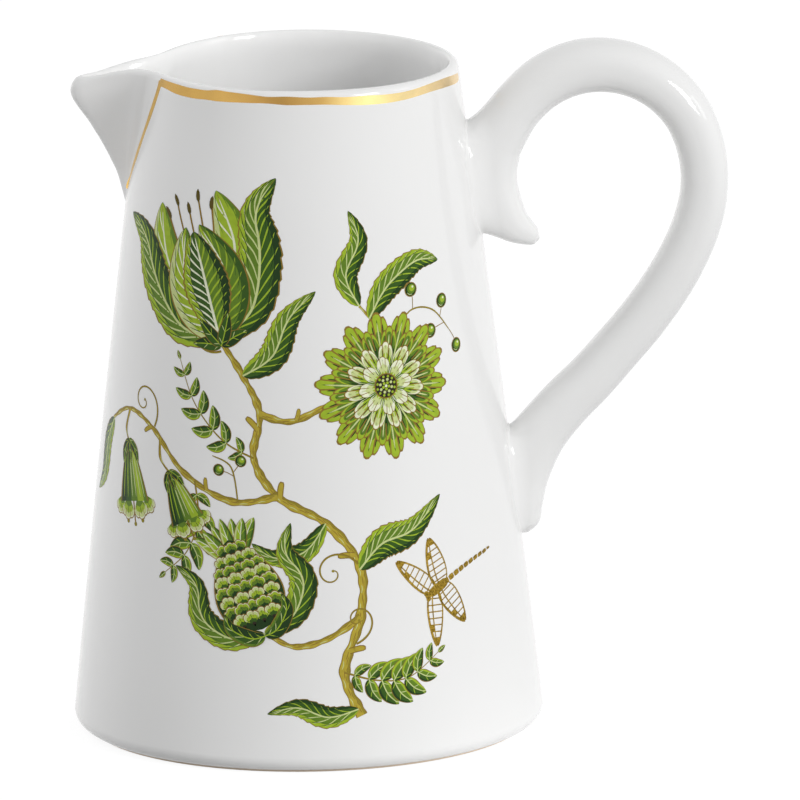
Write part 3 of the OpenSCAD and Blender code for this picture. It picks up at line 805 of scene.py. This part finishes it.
def dragonfly(at, angle, size):
    # All gold: a ringed body, and four long wings as outlines filled with cells
    place = partial(placed, at=at, angle=angle, size=size)

    def line(path, half):
        ribbon(path, half, [-1, 1], "gold")

    u = np.linspace(0, 1, 34)
    for side in (-1, 1):
        for root, sweep, long, wide in ((0.17, 66, 0.62, 0.1), (0.05, 100, 0.57, 0.12)):
            half = 0.25 + 0.75 * np.sin(np.pi * u ** 0.62) ** 0.8
            half = wide * size * half * np.sqrt(np.clip(1 - u ** 9, 0, 1)) + 0.03
            lean = math.radians(sweep)
            path = place(stack(root + u * long * math.cos(lean), side * u * long * math.sin(lean)))
            out = sideOf(path) * half[:, None] * side
            for way in (-side, side):
                line(path + out * way, (0.3 + 0.16 * (way < 0)) * (0.6 + 0.4 * u))
            line(path - out * 0.35, 0.24 - 0.08 * u)
            for k in range(4, 30, 4):
                a, b = path[k] - out[k], path[k + 1] + out[k]
                stroke([a, mix(a, b, 0.5), b], 0.36, "gold", 0, (1, 1), 5)
            spot = slice(20, 25)
            line(path[spot] - out[spot] * 0.72, half[spot] * 0.34)
            line(path[28:], half[28:])
    for k in range(9):
        x, bend = -0.02 - 0.085 * k, 0.012 * k * k / 8
        points = [(x + 0.03, bend), (x - 0.01, bend * 1.05), (x - 0.045, bend * 1.12)]
        stroke(place(points), size * (0.044 - 0.002 * k) * 1.6, "gold", 0, (0.7, 0.7), 6)
    for points, wide, taper, n in (
            ([(-0.76, 0.108), (-0.82, 0.13)], 0.03, (1, 0.2), 5),
            ([(-0.03, 0), (0.1, 0), (0.22, 0)], 0.12, (0.6, 0.7), 10),
            ([(0.215, 0), (0.26, 0), (0.3, 0)], 0.08, (0.6, 0.6), 8)):
        stroke(place(points), size * wide, "gold", 0, taper, n)
    for side in (-1, 1):
        dot(place((0.275, 0.036 * side))[0], size * 0.03, "gold", 0, 12)
    settle("gold")


# The branch: a woody stem that sways up the front, and what it carries
for branch in (
        ([(16, 17), (11, 30), (16, 46), (16, 61), (6, 74), (-8, 82), (-15, 93), (-13, 106), (-18, 117), (-25, 127)],
         3.1, 0.62, ((0.16, -1), (0.36, 1), (0.55, -1), (0.74, 1))),
        ([(-8, 82), (-22, 80), (-38, 87), (-50, 98), (-62, 102), (-74, 97)], 2.3, 0.45, ((0.3, -1), (0.62, 1))),
        ([(16, 46), (6, 40), (-4, 38), (-12, 42)], 2.2),
        ([(-13, 106), (-4, 104), (6, 108), (16, 112)], 2.2, 0.7, ((0.4, 1),)),
        ([(-62, 102), (-64, 96), (-62, 92)], 1.0), ([(-47, 96), (-47, 90), (-43, 86)], 1.0),
        ([(24, 125), (21, 132), (17, 137)], 1.1)):
    stem(*branch)
frond([(11, 30), (21, 27), (31, 27), (41, 33)], 8.2, 8)
frond([(-34, 85), (-33, 74), (-37, 64), (-45, 57)], 7.5, 7)
frond([(-15, 93), (-25, 98), (-34, 108), (-39, 120)], 6.5, 7)
leaf([(16, 60), (23, 67), (33, 70), (43, 79)], 5.2, 16, 10)
leaf([(-18, 117), (-9, 123), (-4, 134), (4, 142)], 4.6, 14, 9)
leaf([(15, 19), (6, 17), (-3, 20), (-12, 18)], 3.6, 12, 8)
leaf([(6, 74), (0, 66), (-9, 64), (-16, 68)], 3.4, 12, 8)
leaf([(-73, 97), (-78, 90), (-80, 80), (-86, 74)], 4.0, 12, 8)
leaf([(20, 133), (26, 142), (36, 148), (45, 147)], 4.8, 14, 9)
leaf([(17, 137), (13, 146), (17, 156), (14, 165)], 4.0, 12, 8)
tendril((16, 61), 130, 9, 1.2)
tendril((-50, 98), 60, 10, 1.3)
tendril((14, 38), 20, 8, 1.2)
tendril((-24, 124), 200, 8, 1.2, -1)
berries([(28, 128), (34, 134), (42, 133), (49, 126)], [(34, 140), (41, 127), (46, 135), (52, 121)], 2.2)
berries([(-20, 80), (-22, 90), (-28, 93)], [(-19, 92), (-26, 89)], 1.8)
pomegranate((-13, 43), 112, 30)
tulip((-25, 127), 106, 42)
bell((-62, 92), -80, 20)
bell((-43, 86), -64, 17)
dahlia((25, 113), 22, 8)
dragonfly((44, 53), 207, 26)


# Skins on the wall: the print and the gilding


def wallSkin(angle, z, out):
    # Point of the outer wall at an angle from the lip and a height, moved out along the wall's normal
    r = wallRadius(z) - pinch(angle, z) + out * math.cos(lean)
    return polar(r, angle, z + lift(angle, z) + out * math.sin(lean))


def wallNormal(angle):
    return polar(math.cos(lean), angle, math.sin(lean))


def bothSides(points, faces, normals):
    # A skin and the same on the back, where y changes sign and the faces turn round
    flip = np.array([1, -1, 1])
    return ("front", points, faces, normals), ("back", points * flip, faces[:, ::-1], normals * flip)


# Height of the lowest print film off the glaze, and of each further one over it
film = dict(first=0.03, step=0.0022)
palette = np.array([ink[name] + (1,) for name in inkNames])
for group in ("stems", "leaves", "blossoms", "gold"):
    parts = [part for part in sheet if part[4] == group]
    starts = np.cumsum([0] + [len(part[0]) for part in parts])
    flat = chain([part[0] for part in parts])
    quads = chain([part[1] + start for part, start in zip(parts, starts)])
    inks = palette[chain([part[2] for part in parts])]
    height = film["first"] + film["step"] * np.repeat([part[3] for part in parts], [len(part[0]) for part in parts])
    angle = np.pi / 2 + flat[:, 0] / wallRadius(flat[:, 1])
    points, normals = wallSkin(angle, flat[:, 1], height), wallNormal(angle)
    a, b, c = (points[quads[:, k]] for k in (0, 1, 2))
    away = (np.cross(b - a, c - b) * normals[quads[:, 0]]).sum(1) < 0
    quads[away] = quads[away][:, ::-1]
    for where, *mesh in bothSides(points, quads, normals):
        name = f"print_{group}_{where}"
        if group == "gold":
            addPiece(name, *mesh, dullGold, slot="gilding")
        else:
            layer = addPiece(name, *mesh, inkPaint).data.color_attributes.new("ink", "BYTE_COLOR", "CORNER")
            layer.data.foreach_set("color", np.repeat(inks, 4, axis=0).astype(np.float32).ravel())
    print("print:", group, len(quads))


# Gilding: a brushed band below the rim and a fine line down each side of the lip

gilt = dict(rise=0.07, sunk=0.03, bandEnd=172.6, tail=2.0, slant=0.45, slantOver=4.0)
# Angle from the lip in degrees, top and bottom of the band: the brush wavered a little
bandRows = [
    [24.1, 198.75, 196.4], [28.9, 198.7, 196.3], [36, 198.6, 195.7], [42, 198.4, 195.5], [47.6, 198.4, 195.5],
    [52.7, 198.5, 195.7], [57.5, 199, 195.7], [62, 198.9, 195.8], [70, 198.6, 196], [78, 198.1, 196.1],
    [85.4, 198.2, 195.7], [93, 197.9, 195.7], [100, 197.9, 195.6], [107.6, 197.6, 195.2], [115.4, 197.6, 194.8],
    [123.5, 197.3, 194.7], [132.5, 197.3, 194.9], [143, 197.8, 195.4], [149.6, 198, 195.4], [157.5, 197.9, 195.1],
    [165, 197.4, 194.6], [169.8, 197, 194.4]]
# Height, distance of the line's middle from the plane through the lip, and width of the line
lineRows = [[162.3, 2.6, 1.2], [164, 3.7, 2], [167, 5.6, 2.5], [170, 7.2, 2.7], [175, 9.7, 2.7],
            [180, 11.9, 2.5], [185, 13.9, 2.4], [190, 15.7, 2.3], [195, 17.4, 2.3], [198, 18.3, 2.5]]


def raised(share):
    # Height of the film across its width: sunk along its borders and lifted off the glaze in between
    edge = np.minimum(share, 1 - share)
    return np.where(edge < 0.001, -gilt["sunk"], gilt["rise"] * (0.55 + 0.45 * smooth(edge / 0.3)))


def addGilt(name, grid, normals):
    faces = gridFaces(*grid.shape[:2])
    facing = np.cross(grid[2, 1] - grid[2, 0], grid[3, 0] - grid[2, 0])
    if float((facing * normals[2, 0]).sum()) < 0:
        faces = faces[:, ::-1]
    for where, *mesh in bothSides(grid.reshape(-1, 3), faces, normals.reshape(-1, 3)):
        addPiece(f"{name}_{where}_gilt", *mesh, gilding, node=f"{name}_{where}", slot="gilding")


fine = spline(bandRows, 400)
turns = np.radians(np.linspace(bandRows[0][0], gilt["bandEnd"], 420))
high, low = (np.interp(turns, np.radians(fine[:, 0]), fine[:, k]) for k in (1, 2))
# The end of the band is round, where the brush was lifted
past = (np.degrees(turns) - (gilt["bandEnd"] - gilt["tail"])).clip(0) / gilt["tail"]
round_ = np.sqrt(np.clip(1 - past ** 2, 0.0004, 1))
high, low = (high + low) / 2 + (high - low) / 2 * round_, (high + low) / 2 - (high - low) / 2 * round_
share = chain([[0], np.linspace(0.03, 0.97, 9), [1]])
z = mix(low[None, :], high[None, :], share[:, None])
# The left end leans along the lip's line
slant = (z - bandRows[0][1]) * gilt["slant"] / wallRadius(198.0)
angle = turns + slant * np.clip(1 - (turns - turns[0]) / np.radians(gilt["slantOver"]), 0, 1)
band = wallSkin(angle, z, raised(share)[:, None] + 0 * z)
addGilt("rim_band", band, wallNormal(angle))

# The line covers the seam: it lies partly on the lip's side and partly on the wall
steps = 90
z, y, wide = spline(lineRows, steps).T
wide = wide * (1 + 0.08 * np.sin(np.linspace(0, 19, steps)))
wide[:4] *= (0.1, 0.6, 0.85, 0.95)
share = chain([[0], np.linspace(0.06, 0.94, 9), [1]])
y = y[:, None] + (share[None, :] - 0.5) * wide[:, None]
near = chain([lipPoints(z[:, None], 0)[:, lipSide + 12:], wallPoints(z[:, None], 0)[:, 1:24]], 1)
line = np.stack([stack(np.interp(at, -row[:, 1], row[:, 0]), -at, np.interp(at, -row[:, 1], row[:, 2]))
                 for at, row in zip(y, near)], 1)
normals = gridNormals(line)
normals = np.where((normals * line * (1, 1, 0)).sum(-1, keepdims=True) < 0, -normals, normals)
addGilt("lip_line", line + normals * raised(share)[:, None, None], normals)
print("gilding:", band.shape, line.shape)


# Stage: a white sheet that looks plain white, still takes the shadow, and gives little light back


def seenDirectly(tree):
    # 1 for camera, glossy and transmission rays, 0 for the rays that only carry light
    rays = tree.nodes.new("ShaderNodeLightPath").outputs
    first = calculate(tree, "MAXIMUM", rays["Is Camera Ray"], rays["Is Glossy Ray"])
    return calculate(tree, "MAXIMUM", first, rays["Is Transmission Ray"])


white = bpy.data.materials.new("sheet_white")
white.use_nodes = True
tree = white.node_tree
tree.nodes.clear()
# Close to the pitcher the sheet throws more light up under it, most of all on the right
onSheet = add(tree, "TexCoord", {}, "Object")
nearby = remap(tree, add(tree, "SeparateXYZ", {"Vector": onSheet}, "X"), -0.05, 0.05, 0.29, 0.86)
apart = add(tree, "VectorMath", {0: onSheet}, "Value", operation="LENGTH")
bounce = remap(tree, apart, 0.07, 0.18, nearby, 0.38, "SMOOTHSTEP")
seen = seenDirectly(tree)
paper = add(tree, "BsdfDiffuse", {"Color": blend(tree, bounce, (0.2, 0.2, 0.2, 1), seen)})
glow = add(tree, "Emission", {"Strength": calculate(tree, "MULTIPLY", seen, 0.89)})
feed(tree.nodes.new("ShaderNodeOutputMaterial"), {"Surface": add(tree, "AddShader", {0: paper, 1: glow})})

size = 3.0
floorMesh = bpy.data.meshes.new("floor")
floorMesh.from_pydata([(-size, -size, 0), (size, -size, 0), (size, size, 0), (-size, size, 0)], [], [(0, 1, 2, 3)])
floorMesh.materials.append(white)
floor = bpy.data.objects.new("floor", floorMesh)
bpy.context.scene.collection.objects.link(floor)

# World: white where it is seen or mirrored; the rest of the light is brightest low down all round,
# and a broad patch of it behind the lip brightens the left flank
world = bpy.data.worlds.new("studio")
bpy.context.scene.world = world
world.use_nodes = True
tree = world.node_tree
aim = add(tree, "TexCoord", {}, "Generated")
level = remap(tree, add(tree, "SeparateXYZ", {"Vector": aim}, "Z"), 0.4, 0.9, 0.8, 0.25)
facing = add(tree, "VectorMath", {0: aim, 1: (-0.82, 0.53, 0.22)}, "Value", operation="DOT_PRODUCT")
patch = remap(tree, facing, 0.62, 1, 0, 1.05, "SMOOTHSTEP")
light = blend(tree, calculate(tree, "ADD", level, patch), (1, 1, 1, 1), seenDirectly(tree))
feed(tree.nodes["Background"], {"Color": light, "Strength": 1.0})


def addLamp(name, place, size, watts, target=(0.03, 0, 0.1)):
    data = bpy.data.lights.new(name, "AREA")
    data.shape = "RECTANGLE"
    data.size = data.size_y = size
    data.energy = watts
    lamp = bpy.data.objects.new(name, data)
    lamp.location = place
    lamp.rotation_euler = (Vector(target) - Vector(place)).to_track_quat("-Z", "Y").to_euler()
    bpy.context.scene.collection.objects.link(lamp)


addLamp("key_right", (2.35, -2.05, 1.35), 1.0, 43)
addLamp("side_right", (2.4, -0.45, 1.05), 0.7, 3)

# Camera: a long lens, 13 degrees above the table, turned a hair to level the photograph
view = dict(elevation=13.044, roll=-0.791, distance=5.62695, aim=(0.028279, 0, 0.096581), frame=0.236815)
cameraData = bpy.data.cameras.new("camera")
cameraData.sensor_fit = "HORIZONTAL"
cameraData.angle = 2 * math.atan(view["frame"] / 2 / view["distance"])
cameraData.clip_end = 50
camera = bpy.data.objects.new("camera", cameraData)
camera.matrix_world = (
    Matrix.Translation(view["aim"]) @ Matrix.Rotation(math.radians(90 - view["elevation"]), 4, "X")
    @ Matrix.Rotation(math.radians(view["roll"]), 4, "Z") @ Matrix.Translation((0, 0, view["distance"])))
bpy.context.scene.collection.objects.link(camera)
bpy.context.scene.camera = camera
bpy.context.scene.view_settings.view_transform = "Standard"
